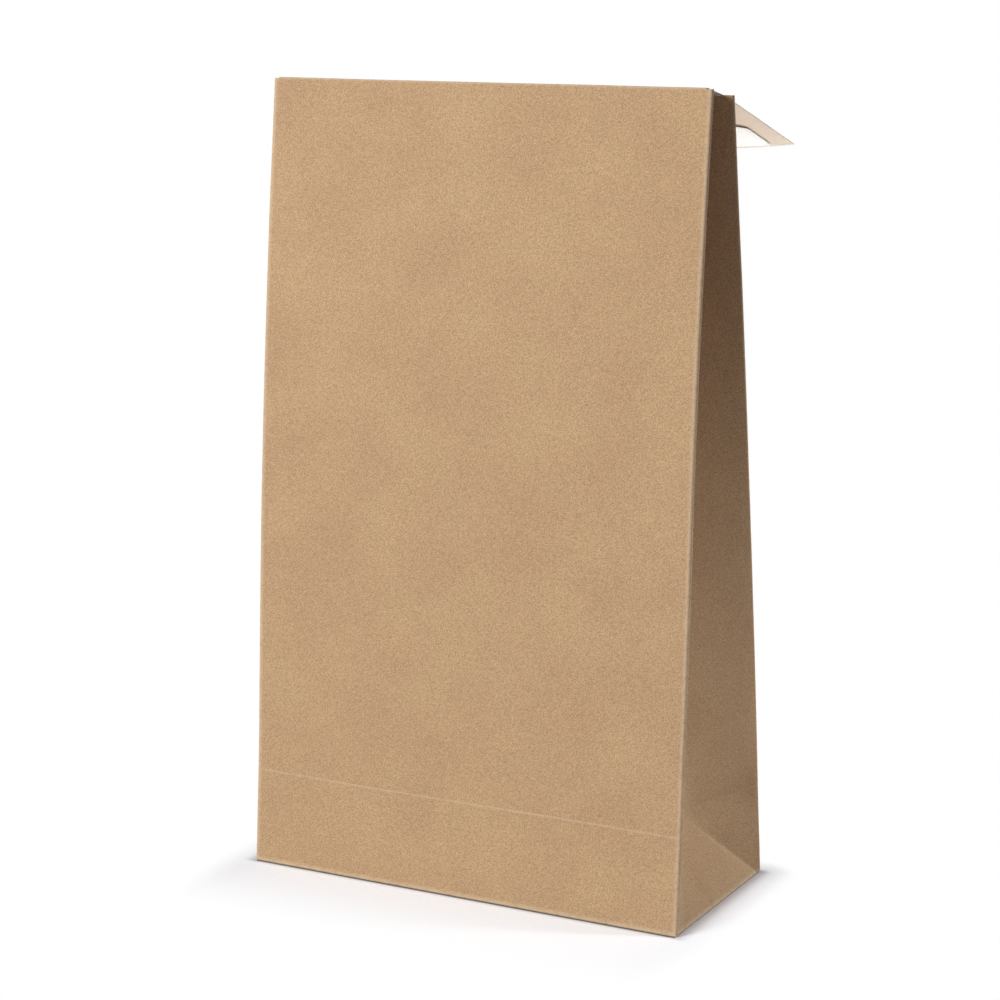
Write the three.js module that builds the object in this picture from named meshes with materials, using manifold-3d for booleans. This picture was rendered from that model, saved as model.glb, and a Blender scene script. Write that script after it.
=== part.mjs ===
// Brown kraft paper lunch bag with side gussets, a folded block bottom and a peel-and-seal flap.
// Millimetres, +Z up. The origin is the middle of the base, and the front panel faces -Y.

import * as THREE from "three";
import { mergeVertices } from "three/addons/utils/BufferGeometryUtils.js";
import Module from "manifold-3d";

// Bag body
const BAG_WIDTH = 180; // across the front panel
const BASE_DEPTH = 83; // front to back at the bottom, and the unfolded width of a gusset
const PANEL_LENGTH = 306; // bottom edge to mouth, measured along the front or back panel
const MOUTH_SETBACK = 17.6; // the mouth's front edge stands this far behind the bottom front edge
const MOUTH_GAP = 21; // front to back between the panels at the mouth
const PAPER = 0.25; // thickness of one layer of paper
const CORNER_FOLD_RADIUS = 0.9; // upright folds beside the panels, at the middle of the paper
const GUSSET_FOLD_RADIUS = 0.7; // inward folds of the gussets, at the middle of the paper
const BOTTOM_FOLD_RADIUS = 0.8; // fold between each wall and the base, outside

// Creases left by the flat-folded bottom
const CREASE_HEIGHT = 37.3; // bottom edge to crease, along the paper
const CREASE_DENT = 0.5; // the crease line's depth in the front and back panels
const GUSSET_TUCK = 15; // how far the tip of the side triangle is pushed in
const TRIANGLE_FOOT = 4; // from a bottom corner to where the triangle's side fold starts
const TRIANGLE_DISH = 0.3; // the triangle's foot stands this far inside the side edge

// Glued joins of the one sheet
const SEAM_OVERLAP = 12; // long seam up the middle of the back panel
const SEAM_EASE = 14; // width over which the under layer comes back level
const BOTTOM_OVERLAP = 20; // front bottom flap over back bottom flap
const BOTTOM_RIM = 1.2; // width of the folded rim round the base

// Closure flap: the front panel's own paper, folded back over the mouth
const FLAP_LENGTH = 75; // beyond the back panel's top edge
const FLAP_FOLD_RADIUS = 0.35; // at the middle of the paper
const FLAP_ROOT_INSET = 2.2; // flap's side edge inside the panel's edge, at the fold
const FLAP_SIDE_INSET = 4.8; // the same, beyond the back panel
const FLAP_BEND_LENGTH = 1.5; // curved stretch where the flap tips over the back edge
const FLAP_EDGE_SLOPE = THREE.MathUtils.degToRad(16); // free flap's slope at its side edges
const FLAP_MIDDLE_SAG = THREE.MathUtils.degToRad(3.6); // extra slope in the middle of the flap
const FLAP_CLEARANCE = 0.15; // between the flap and the cut edge that it lies on
const EAR_WIDTH = 4.3; // corner ears of the back panel, beside the flap
const EAR_RISE = 0.35; // the ears above the cut edge that the flap lies on
const EAR_STEP = 0.1; // width over which the cut edge drops from an ear

// Adhesive strip and the release liner that covers it, under the flap
const LINER_WIDTH = 29;
const LINER_EDGE_MARGIN = 3.1; // to the flap's free edge
const LINER_END_INSET = 7.8; // to the flap's side edge
const LINER_INNER_RADIUS = 5; // its corners on the bag's side
const LINER_OUTER_RADIUS = 1; // its corners at the flap's free edge
const LINER_THICKNESS = 0.12;
const ADHESIVE_WIDTH = 16;
const ADHESIVE_END_INSET = 2; // inside the liner's end
const ADHESIVE_CORNER_RADIUS = 2;
const ADHESIVE_THICKNESS = 0.15;
const LAYER_GAP = 0.1; // clearance between flap, adhesive and liner

// Facets
const FOLD_STEPS = 5;
const CREASE_STEPS = 3;
const ROUNDING_STEPS = 3;
const FLAP_COLUMNS = 20;
const FLAP_ROW_LENGTH = 8;
const BEND_STEPS = 3;
const STRIP_COLUMNS = 18;
const STRIP_CORNER_STEPS = 4;

const HALF_WIDTH = BAG_WIDTH / 2;
const HALF_DEPTH = BASE_DEPTH / 2;
const HALF_PAPER = PAPER / 2;
const FLOOR_THICKNESS = 3 * PAPER; // side triangle, back flap and front flap lie on each other

const { lerp } = THREE.MathUtils;
const legOf = (long, across) => Math.sqrt(long ** 2 - across ** 2);
const stops = (from, to, steps) =>
  Array.from({ length: steps + 1 }, (_, i) => lerp(from, to, i / steps));

// Points of the outer face where a panel meets its fold, as y and z; the folds run up both sides
const mouthFront = { y: MOUTH_SETBACK - HALF_DEPTH, z: legOf(PANEL_LENGTH, MOUTH_SETBACK) };
const mouthBack = { y: mouthFront.y + MOUTH_GAP };
mouthBack.z = legOf(PANEL_LENGTH, HALF_DEPTH - mouthBack.y);
const frontLean = Math.asin((mouthFront.y + HALF_DEPTH) / PANEL_LENGTH);
const backLean = Math.asin((HALF_DEPTH - mouthBack.y) / PANEL_LENGTH);

// The four folds of the right side at three levels. The two folds of the side triangle rise from
// the base corners, meet at its tip and go on as the gusset's centre fold.
const creaseFront = {
  y: -HALF_DEPTH + CREASE_HEIGHT * Math.sin(frontLean) + CREASE_DENT,
  z: CREASE_HEIGHT * Math.cos(frontLean),
};
const creaseBack = {
  y: HALF_DEPTH - CREASE_HEIGHT * Math.sin(backLean) - CREASE_DENT,
  z: CREASE_HEIGHT * Math.cos(backLean),
};
const triangleTip = {
  x: HALF_WIDTH - GUSSET_TUCK,
  y: (creaseFront.y + creaseBack.y) / 2,
  z: legOf(CREASE_HEIGHT, GUSSET_TUCK),
};
const mouthCentre = {
  x: HALF_WIDTH - legOf(HALF_DEPTH, MOUTH_GAP / 2),
  y: (mouthFront.y + mouthBack.y) / 2,
  z: (mouthFront.z + mouthBack.z) / 2,
};
const footX = HALF_WIDTH - TRIANGLE_DISH;
const LEVELS = [
  {
    front: { y: -HALF_DEPTH, z: 0 },
    foldFront: { x: footX, y: -HALF_DEPTH + TRIANGLE_FOOT, z: 0 },
    foldBack: { x: footX, y: HALF_DEPTH - TRIANGLE_FOOT, z: 0 },
    back: { y: HALF_DEPTH, z: 0 },
  },
  { front: creaseFront, foldFront: triangleTip, foldBack: triangleTip, back: creaseBack },
  { front: mouthFront, foldFront: mouthCentre, foldBack: mouthCentre, back: mouthBack },
];

// The folds at a height between the levels: 0 the bottom edge, 1 the crease, 2 the mouth.
function foldsAt(height) {
  const below = LEVELS[Math.min(Math.floor(height), LEVELS.length - 2)];
  const above = LEVELS[LEVELS.indexOf(below) + 1];
  const share = height - LEVELS.indexOf(below);
  const folds = {};
  for (const name of Object.keys(below)) {
    folds[name] = {};
    for (const axis of Object.keys(below[name]))
      folds[name][axis] = lerp(below[name][axis], above[name][axis], share);
  }
  return folds;
}

// Angle of the outward normal on the straight run of paper between two fold rollers. A roller's
// reach is its signed radius: the paper goes round the far side of a roller with a negative reach.
function normalBetween(from, to) {
  const run = Math.atan2(to.y - from.y, to.x - from.x);
  const span = Math.hypot(to.x - from.x, to.y - from.y);
  return run - Math.PI / 2 + Math.asin((from.reach - to.reach) / span);
}

// Points round one roller, between the normals of the runs that meet there.
function wrap(roller, fromAngle, toAngle, steps) {
  return stops(fromAngle, toAngle, steps).map(
    (angle) =>
      new THREE.Vector3(
        roller.x + roller.reach * Math.cos(angle),
        roller.y + roller.reach * Math.sin(angle),
        roller.z,
      ),
  );
}

// The right side of a section, from the front panel to the back panel. The offset is the distance
// of the wanted face from the middle of the paper, outward.
function sideProfile(folds, offset) {
  const corner = CORNER_FOLD_RADIUS + offset;
  const tuck = -GUSSET_FOLD_RADIUS + offset;
  const cornerX = HALF_WIDTH - HALF_PAPER - CORNER_FOLD_RADIUS;
  const cornerInset = HALF_PAPER + CORNER_FOLD_RADIUS;
  const tuckX = GUSSET_FOLD_RADIUS - HALF_PAPER;
  const { front, foldFront, foldBack, back } = folds;
  const rollers = [
    { x: cornerX, y: front.y + cornerInset, z: front.z, reach: corner },
    { x: foldFront.x + tuckX, y: foldFront.y, z: foldFront.z, reach: tuck },
    { x: foldBack.x + tuckX, y: foldBack.y, z: foldBack.z, reach: tuck },
    { x: cornerX, y: back.y - cornerInset, z: back.z, reach: corner },
  ];
  const intoGusset = normalBetween(rollers[0], rollers[1]);
  const outOfGusset = normalBetween(rollers[2], rollers[3]);
  const backCorner = wrap(rollers[3], outOfGusset, Math.PI / 2, FOLD_STEPS);
  const alongGusset = new THREE.Vector3(Math.sin(outOfGusset), -Math.cos(outOfGusset), 0);
  const earRun = EAR_WIDTH - cornerInset;
  return [
    ...wrap(rollers[0], -Math.PI / 2, intoGusset, FOLD_STEPS),
    ...wrap(rollers[1], intoGusset, 0, CREASE_STEPS),
    ...wrap(rollers[2], 0, outOfGusset, CREASE_STEPS),
    backCorner[0].clone().addScaledVector(alongGusset, earRun + EAR_STEP),
    backCorner[0].clone().addScaledVector(alongGusset, earRun),
    ...backCorner,
  ];
}

// Front panel columns carry on into the flap, so they are the flap's columns at its fold.
const flapRootHalf = HALF_WIDTH - FLAP_ROOT_INSET;
const frontColumns = stops(-flapRootHalf, flapRootHalf, FLAP_COLUMNS);

// Back panel columns at the ears and the long seam, right to left. Outer and inner give how many
// layers of paper the outer face sinks and the inner face stands proud there.
const seamEdge = SEAM_OVERLAP / 2;
const seamStep = PAPER / 2;
const earX = HALF_WIDTH - EAR_WIDTH;
const seatX = earX - EAR_STEP;
const BACK_COLUMNS = [
  { x: earX, outer: 0, inner: 0 },
  { x: seatX, outer: 0, inner: 0 },
  { x: seamEdge + seamStep, outer: 0, inner: 0 },
  { x: seamEdge, outer: 0, inner: 1 },
  { x: -seamEdge, outer: 0, inner: 1 },
  { x: -seamEdge - seamStep, outer: 1, inner: 1 },
  { x: -seamEdge - SEAM_EASE, outer: 0, inner: 0 },
  { x: -seatX, outer: 0, inner: 0 },
  { x: -earX, outer: 0, inner: 0 },
];

// The cut edge at the mouth drops between the ears, most at the back panel.
function dropToSeat(point) {
  const share = (point.y - mouthFront.y) / MOUTH_GAP;
  if (Math.abs(point.x) < earX - EAR_STEP / 4) point.z -= EAR_RISE * share;
}

// One closed section of the body, anticlockwise from the left end of the front panel.
function sectionLoop(height, offset, lift = 0) {
  const folds = foldsAt(height);
  const right = sideProfile(folds, offset);
  const left = right.map((p) => new THREE.Vector3(-p.x, p.y, p.z)).reverse();
  const frontY = folds.front.y + HALF_PAPER - offset;
  const backY = folds.back.y - HALF_PAPER + offset;
  const face = offset > -HALF_PAPER ? "outer" : "inner";
  const front = frontColumns.map((x) => new THREE.Vector3(x, frontY, folds.front.z));
  const back = BACK_COLUMNS.map(
    (column) => new THREE.Vector3(column.x, backY - column[face] * PAPER, folds.back.z),
  );
  if (height === LEVELS.length - 1) [...right, ...back, ...left].forEach(dropToSeat);
  const loop = [...front, ...right, ...back, ...left];
  if (lift > 0) loop.forEach((p) => (p.z = lift));
  return loop;
}

// Gathers vertices and faces of one closed surface.
class Surface {
  constructor() {
    this.points = [];
    this.faces = [];
  }

  row(points) {
    return points.map((p) => this.points.push(p) - 1);
  }

  // Faces between two rows, seen from the right of the direction in which the rows run. Both sides
  // of the paper are split along the same diagonal, which keeps them its thickness apart.
  band(lower, upper, outward, closed) {
    const count = lower.length - (closed ? 0 : 1);
    for (let i = 0; i < count; i += 1) {
      const next = (i + 1) % lower.length;
      const halves = [
        [lower[i], lower[next], upper[next]],
        [lower[i], upper[next], upper[i]],
      ];
      this.faces.push(...halves.map((face) => (outward ? face : face.reverse())));
    }
  }

  // Closes a level loop with triangles.
  cap(row, facingUp) {
    const outline = row.map((i) => new THREE.Vector2(this.points[i].x, this.points[i].y));
    for (const [a, b, c] of THREE.ShapeUtils.triangulateShape(outline, []))
      this.faces.push(facingUp ? [row[a], row[b], row[c]] : [row[c], row[b], row[a]]);
  }

  geometry() {
    const geometry = new THREE.BufferGeometry().setFromPoints(this.points);
    geometry.setIndex(this.faces.flat());
    return geometry;
  }
}

// The flap's path, in y and z, at the middle of the paper. It goes round its fold, straight to the
// hinge over the back panel's edge, and down. Slopes are downward toward the back.
const foldCentre = {
  y: mouthFront.y + (HALF_PAPER + FLAP_FOLD_RADIUS) * Math.cos(frontLean),
  z: mouthFront.z - (HALF_PAPER + FLAP_FOLD_RADIUS) * Math.sin(frontLean),
};
const hinge = {
  y: mouthBack.y,
  z: mouthBack.z - EAR_RISE + FLAP_CLEARANCE + HALF_PAPER,
};
const hingeSpan = Math.hypot(hinge.y - foldCentre.y, hinge.z - foldCentre.z);
const bridgeSlope =
  Math.atan2(foldCentre.z - hinge.z, hinge.y - foldCentre.y) +
  Math.asin(FLAP_FOLD_RADIUS / hingeSpan);
const foldStart = frontLean - Math.PI / 2; // slope-side angle of the normal at the panel
const flapFreeHalf = HALF_WIDTH - FLAP_SIDE_INSET;

function slopeAt(x) {
  return FLAP_EDGE_SLOPE + FLAP_MIDDLE_SAG * (1 - Math.min(1, Math.abs(x) / flapFreeHalf) ** 2);
}

// A point of the flap beyond the back edge, offset outward from the middle of the paper.
function freeFlapPoint(x, along, offset) {
  const slope = slopeAt(x);
  const curved = Math.min(along, FLAP_BEND_LENGTH);
  const radius = FLAP_BEND_LENGTH / (slope - bridgeSlope);
  const turned = lerp(bridgeSlope, slope, curved / FLAP_BEND_LENGTH);
  const straight = along - curved;
  return new THREE.Vector3(
    x,
    hinge.y +
      radius * (Math.sin(turned) - Math.sin(bridgeSlope)) +
      straight * Math.cos(turned) +
      offset * Math.sin(turned),
    hinge.z -
      radius * (Math.cos(bridgeSlope) - Math.cos(turned)) -
      straight * Math.sin(turned) +
      offset * Math.cos(turned),
  );
}

// Rows of the flap from its fold to its free edge, on one face of the paper.
function flapRows(offset) {
  const rows = [];
  for (const angle of stops(foldStart, bridgeSlope, FOLD_STEPS).slice(1)) {
    const reach = FLAP_FOLD_RADIUS + offset;
    const y = foldCentre.y + reach * Math.sin(angle);
    const z = foldCentre.z + reach * Math.cos(angle);
    rows.push(frontColumns.map((x) => new THREE.Vector3(x, y, z)));
  }
  const narrowing = flapFreeHalf / flapRootHalf;
  const bend = stops(0, FLAP_BEND_LENGTH, BEND_STEPS);
  const free = FLAP_LENGTH - FLAP_BEND_LENGTH;
  const rest = stops(FLAP_BEND_LENGTH, FLAP_LENGTH, Math.ceil(free / FLAP_ROW_LENGTH)).slice(1);
  for (const along of [...bend, ...rest])
    rows.push(frontColumns.map((x) => freeFlapPoint(x * narrowing, along, offset)));
  return rows;
}

// The whole folded sheet: walls, gussets, base and flap as one closed surface.
function sheetGeometry() {
  const surface = new Surface();
  const outer = [];
  const inner = [];
  for (const angle of stops(0, Math.PI / 2, ROUNDING_STEPS)) {
    const rise = BOTTOM_FOLD_RADIUS * (1 - Math.cos(angle));
    const inset = BOTTOM_FOLD_RADIUS * (1 - Math.sin(angle));
    outer.push(surface.row(sectionLoop(rise / CREASE_HEIGHT, HALF_PAPER - inset)));
  }
  inner.push(
    surface.row(sectionLoop(FLOOR_THICKNESS / CREASE_HEIGHT, -HALF_PAPER, FLOOR_THICKNESS)),
  );
  for (const height of [0.25, 0.6, 1, 1.25, 1.6, 2]) {
    outer.push(surface.row(sectionLoop(height, HALF_PAPER)));
    inner.push(surface.row(sectionLoop(height, -HALF_PAPER)));
  }
  surface.cap(outer[0], false);
  surface.cap(inner[0], true);
  for (let i = 1; i < outer.length; i += 1) surface.band(outer[i - 1], outer[i], true, true);
  for (let i = 1; i < inner.length; i += 1) surface.band(inner[i - 1], inner[i], false, true);

  // The cut edge at the mouth, open where the front panel goes on into the flap
  const outerTop = outer.at(-1);
  const innerTop = inner.at(-1);
  const root = frontColumns.length;
  const cut = [...outerTop.slice(root - 1), outerTop[0]];
  const cutInner = [...innerTop.slice(root - 1), innerTop[0]];
  surface.band(cut, cutInner, true, false);

  const flapOuter = [outerTop.slice(0, root), ...flapRows(HALF_PAPER).map((r) => surface.row(r))];
  const flapInner = [innerTop.slice(0, root), ...flapRows(-HALF_PAPER).map((r) => surface.row(r))];
  for (let j = 1; j < flapOuter.length; j += 1) {
    surface.band(flapOuter[j - 1], flapOuter[j], true, false);
    surface.band(flapInner[j - 1], flapInner[j], false, false);
  }
  surface.band(flapOuter.at(-1), flapInner.at(-1), true, false);
  const edge = (rows, column) => rows.map((row) => row.at(column));
  surface.band(edge(flapOuter, 0), edge(flapInner, 0), true, false);
  surface.band(edge(flapOuter, -1), edge(flapInner, -1), false, false);
  return surface.geometry();
}

// How far a rounded corner cuts into a strip's side, at an inset from the strip's end.
function cornerTrim(radius, inset) {
  return inset < radius ? radius - legOf(radius, radius - inset) : 0;
}

// A thin strip on the flap's underside with rounded corners, its top face the given depth below
// the middle of the flap's paper.
function stripGeometry(halfLength, start, end, startRadius, endRadius, depth, thickness) {
  const roundedLength = Math.max(startRadius, endRadius);
  const straightHalf = halfLength - roundedLength;
  const columns = stops(-straightHalf, straightHalf, STRIP_COLUMNS).map((x) => ({
    x,
    inset: roundedLength,
  }));
  for (const angle of stops(0, Math.PI / 2, STRIP_CORNER_STEPS).slice(1)) {
    const inset = roundedLength * (1 - Math.sin(angle));
    columns.push({ x: halfLength - inset, inset });
    columns.unshift({ x: inset - halfLength, inset });
  }
  const surface = new Surface();
  const rowCount = Math.ceil((end - start) / FLAP_ROW_LENGTH);
  const rowsAt = (offset) =>
    stops(0, 1, rowCount).map((share) =>
      surface.row(
        columns.map(({ x, inset }) => {
          const from = start + cornerTrim(startRadius, inset);
          const to = end - cornerTrim(endRadius, inset);
          return freeFlapPoint(x, lerp(from, to, share), offset);
        }),
      ),
    );
  const top = rowsAt(-depth);
  const under = rowsAt(-depth - thickness);
  for (let j = 1; j < top.length; j += 1) {
    surface.band(top[j - 1], top[j], true, false);
    surface.band(under[j - 1], under[j], false, false);
  }
  const edge = (rows, column) => rows.map((row) => row.at(column));
  surface.band(top[0], under[0], false, false);
  surface.band(top.at(-1), under.at(-1), true, false);
  surface.band(edge(top, 0), edge(under, 0), true, false);
  surface.band(edge(top, -1), edge(under, -1), false, false);
  return surface.geometry();
}

const wasm = await Module();
wasm.setup();

function solidFrom(source) {
  const geometry = source.index ? source.clone() : mergeVertices(source);
  geometry.deleteAttribute("normal");
  geometry.deleteAttribute("uv");
  const merged = mergeVertices(geometry);
  return new wasm.Manifold(
    new wasm.Mesh({
      numProp: 3,
      vertProperties: merged.attributes.position.array,
      triVerts: new Uint32Array(merged.index.array),
    }),
  );
}

function geometryFrom(solid) {
  const mesh = solid.getMesh();
  const geometry = new THREE.BufferGeometry();
  geometry.setAttribute("position", new THREE.BufferAttribute(mesh.vertProperties, 3));
  geometry.setIndex(new THREE.BufferAttribute(mesh.triVerts, 1));
  geometry.computeVertexNormals();
  return geometry;
}

// A recess in the underside of the base, as deep as the layers that stop short of it.
function baseRecess(corners, layers) {
  const outline = new THREE.Shape(corners.map(([x, y]) => new THREE.Vector2(x, y)));
  const depth = layers * PAPER;
  const below = 1;
  const geometry = new THREE.ExtrudeGeometry(outline, { depth: depth + below, bevelEnabled: false });
  return solidFrom(geometry.translate(0, 0, -below));
}

// The bottom flaps seen from below: the front flap covers the back flap, and both cover the side
// triangles, whose slanting folds run in from the base corners at 45 degrees.
function withBottomFlaps(sheet) {
  const rimX = HALF_WIDTH - BOTTOM_RIM;
  const rimY = HALF_DEPTH - BOTTOM_RIM;
  const pointX = HALF_WIDTH - HALF_DEPTH;
  const lap = BOTTOM_OVERLAP / 2;
  const backFlap = [
    [pointX, 0],
    [rimX, rimY],
    [-rimX, rimY],
    [-pointX, 0],
    [-pointX, lap],
    [pointX, lap],
  ];
  const rightTriangle = [
    [rimX, -rimY],
    [rimX, rimY],
    [pointX, 0],
  ];
  const leftTriangle = rightTriangle.map(([x, y]) => [-x, y]).reverse();
  return sheet
    .subtract(baseRecess(backFlap, 1))
    .subtract(baseRecess(rightTriangle, 2))
    .subtract(baseRecess(leftTriangle, 2));
}

const kraft = () =>
  new THREE.MeshStandardMaterial({ color: "#c39e7a", roughness: 0.85, metalness: 0 });
const clearTape = () =>
  new THREE.MeshStandardMaterial({ color: "#e9e4d6", roughness: 0.35, metalness: 0 });
const siliconePaper = () =>
  new THREE.MeshStandardMaterial({ color: "#f6f3ee", roughness: 0.5, metalness: 0 });

function named(name, geometry, material) {
  const mesh = new THREE.Mesh(geometry, material);
  mesh.name = name;
  return mesh;
}

function paperBag() {
  const sheet = solidFrom(sheetGeometry());
  return named("paper_bag", geometryFrom(withBottomFlaps(sheet)), kraft());
}

const linerEnd = FLAP_LENGTH - LINER_EDGE_MARGIN;
const linerHalf = flapFreeHalf - LINER_END_INSET;
const adhesiveDepth = HALF_PAPER + LAYER_GAP;

function adhesiveStrip() {
  const middle = linerEnd - LINER_WIDTH / 2;
  const geometry = stripGeometry(
    linerHalf - ADHESIVE_END_INSET,
    middle - ADHESIVE_WIDTH / 2,
    middle + ADHESIVE_WIDTH / 2,
    ADHESIVE_CORNER_RADIUS,
    ADHESIVE_CORNER_RADIUS,
    adhesiveDepth,
    ADHESIVE_THICKNESS,
  );
  return named("adhesive_strip", geometryFrom(solidFrom(geometry)), clearTape());
}

function releaseLiner() {
  const geometry = stripGeometry(
    linerHalf,
    linerEnd - LINER_WIDTH,
    linerEnd,
    LINER_INNER_RADIUS,
    LINER_OUTER_RADIUS,
    adhesiveDepth + ADHESIVE_THICKNESS + LAYER_GAP,
    LINER_THICKNESS,
  );
  return named("release_liner", geometryFrom(solidFrom(geometry)), siliconePaper());
}

const bag = new THREE.Group();
bag.add(paperBag(), adhesiveStrip(), releaseLiner());

export default bag;
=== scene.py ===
"""Brown kraft paper lunch bag: its folded sheet, the adhesive strip and release liner under its
closure flap, and a plain stage. Metres, +Z up, front panel towards -Y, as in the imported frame."""

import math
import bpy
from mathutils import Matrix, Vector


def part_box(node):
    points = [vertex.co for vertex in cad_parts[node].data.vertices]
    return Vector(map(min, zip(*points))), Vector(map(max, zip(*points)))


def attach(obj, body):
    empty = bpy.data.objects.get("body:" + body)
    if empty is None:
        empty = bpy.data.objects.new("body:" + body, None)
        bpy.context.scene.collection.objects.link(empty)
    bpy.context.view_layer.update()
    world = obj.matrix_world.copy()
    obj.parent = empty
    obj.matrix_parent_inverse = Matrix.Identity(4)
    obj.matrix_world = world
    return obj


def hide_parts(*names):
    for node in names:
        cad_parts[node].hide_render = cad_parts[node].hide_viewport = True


bl_info = {
    "name": "Kraft Paper Lunch Bag",
    "version": (1, 0, 0),
    "blender": (4, 5, 0),
    "location": "View3D > Sidebar > Paper Bag",
    "description": "Folds a kraft paper bag with a closure flap and lights it on a plain stage",
    "category": "Add Mesh",
}

import bmesh
import bpy
import numpy as np
from bpy.props import FloatProperty, PointerProperty, StringProperty
from mathutils import Matrix, Vector, noise

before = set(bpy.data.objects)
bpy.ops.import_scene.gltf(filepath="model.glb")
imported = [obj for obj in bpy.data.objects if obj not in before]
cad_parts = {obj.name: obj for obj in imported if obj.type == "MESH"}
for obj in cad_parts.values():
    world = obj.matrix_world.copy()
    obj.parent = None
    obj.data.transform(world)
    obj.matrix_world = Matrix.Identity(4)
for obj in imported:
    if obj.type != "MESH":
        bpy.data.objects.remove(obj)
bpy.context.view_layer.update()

MM = 0.001
BODY = "root"

sheet_low, sheet_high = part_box("paper_bag")

# Fineness of the mesh
COLUMN_SPACING = 4 * MM
ROW_SPACING = 4 * MM
CORNER_STEPS = 8
TUCK_STEPS = 4
GUSSET_RUNS = 10
TRIANGLE_RUNS = 10
ROUNDING_STEPS = 5
FLAP_FOLD_STEPS = 8
FLAP_BEND_STEPS = 6
STRIP_SPACING = 3 * MM
STRIP_ROW_SPACING = 1.5 * MM
STRIP_CORNER_STEPS = 8
MERGE_DISTANCE = 0.0002 * MM
SHARP_ANGLE = math.radians(50)

# Where rows stand beside a fold or an edge, so that its form and its wear stay narrow
RIDGE_MARGIN = 1.5 * MM
SKIRT_START = 4 * MM
EDGE_MARGIN = 0.6 * MM
STRIP_EDGE = 0.2 * MM
STRIP_MARGIN = 1 * MM

# Rows with wear of their own: distance from the fold, and how far the paper turns to the paler fold
# colour there; at the bottom rim and the crease that paleness is partly wear and partly a painted
# highlight
BASE_ROWS = ((3 * MM, 0), (1.2 * MM, 0.15))
RIM_ROWS = ((1.1 * MM, 0.8), (2.4 * MM, 0))
# Painted highlight: a pale line just below the crease, as well as its wear
RIDGE_ROWS_BELOW = ((-0.8 * MM, 0), (-0.3 * MM, 0.45), (0, 0.55))
RIDGE_ROWS_ABOVE = ((0.2 * MM, 0.2), (0.4 * MM, 0))

# Wear at the start, middle and end of an upright fold, and at the other folds and edges; at the
# corner folds, the mouth and the flap's fold it is also a painted highlight along the fold
CORNER_WEAR_AND_HIGHLIGHT = (0.7, 0.6, 0)
TUCK_WEAR = (0.3, 0.3, 0.3)
# Painted highlight on the bottom fold's rounding, where it catches the floor's light, as well as
# its wear
BOTTOM_WEAR_AND_HIGHLIGHT = 1
# Painted highlight along the mouth's fold and the flap's fold, as well as their wear
MOUTH_WEAR_AND_HIGHLIGHT = 0.35
FLAP_FOLD_WEAR_AND_HIGHLIGHT = 0.8
FLAP_EDGE_WEAR = 0.5

# Shape of the strips' curl and of the sheet's slack
CURL_WIDTH = 6 * MM
CURL_START = 0.35
BROAD_WANDER = 90 * MM
LOCAL_WANDER = 28 * MM
LOCAL_SHARE = 0.25
STILL_HEIGHT = 2 * MM
SLACK_EASE = 14 * MM
SLACK_SEED = 1


class PaperBagSizes(bpy.types.PropertyGroup):
    """Sizes of the folded sheet"""

    bag_width: FloatProperty(
        name="Bag width",
        description="Across the front panel",
        default=sheet_high.x - sheet_low.x,
        unit="LENGTH",
    )
    base_depth: FloatProperty(
        name="Base depth",
        description="Front to back at the bottom, and the width of an unfolded gusset",
        default=83 * MM,
        unit="LENGTH",
    )
    panel_length: FloatProperty(
        name="Panel length",
        description="Bottom edge to mouth, along the paper",
        default=306 * MM,
        unit="LENGTH",
    )
    mouth_setback: FloatProperty(
        name="Mouth setback",
        description="How far the mouth's front edge stands behind the bottom front edge",
        default=17.6 * MM,
        unit="LENGTH",
    )
    mouth_gap: FloatProperty(
        name="Mouth gap",
        description="Front to back between the panels at the mouth",
        default=21 * MM,
        unit="LENGTH",
    )
    paper: FloatProperty(
        name="Paper",
        description="Thickness of one layer of paper",
        default=0.25 * MM,
        unit="LENGTH",
        precision=5,
    )
    corner_fold_radius: FloatProperty(
        name="Corner fold radius",
        description="Upright folds beside the panels, at the middle of the paper",
        default=0.9 * MM,
        unit="LENGTH",
        precision=5,
    )
    gusset_fold_radius: FloatProperty(
        name="Gusset fold radius",
        description="Inward folds of the gussets, at the middle of the paper",
        default=0.7 * MM,
        unit="LENGTH",
        precision=5,
    )
    bottom_fold_radius: FloatProperty(
        name="Bottom fold radius",
        description="Fold between each wall and the base",
        default=0.8 * MM,
        unit="LENGTH",
        precision=5,
    )
    crease_height: FloatProperty(
        name="Crease height",
        description="Bottom edge to the crease that the flat-folded bottom left, along the paper",
        default=37.3 * MM,
        unit="LENGTH",
    )
    gusset_tuck: FloatProperty(
        name="Gusset tuck",
        description="How far the tip of the side triangle is pushed in",
        default=16.5 * MM,
        unit="LENGTH",
    )
    flap_length: FloatProperty(
        name="Flap length",
        description="Closure flap beyond the back panel's top edge",
        default=75 * MM,
        unit="LENGTH",
    )
    liner_width: FloatProperty(
        name="Liner width",
        description="Release liner, across the flap",
        default=29 * MM,
        unit="LENGTH",
    )
    adhesive_width: FloatProperty(
        name="Adhesive width",
        description="Adhesive strip under the liner",
        default=16 * MM,
        unit="LENGTH",
    )
    slackness: FloatProperty(
        name="Slackness",
        description="How far the walls of the sheet wander from flat",
        default=0.3 * MM,
        unit="LENGTH",
        precision=5,
    )


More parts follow.
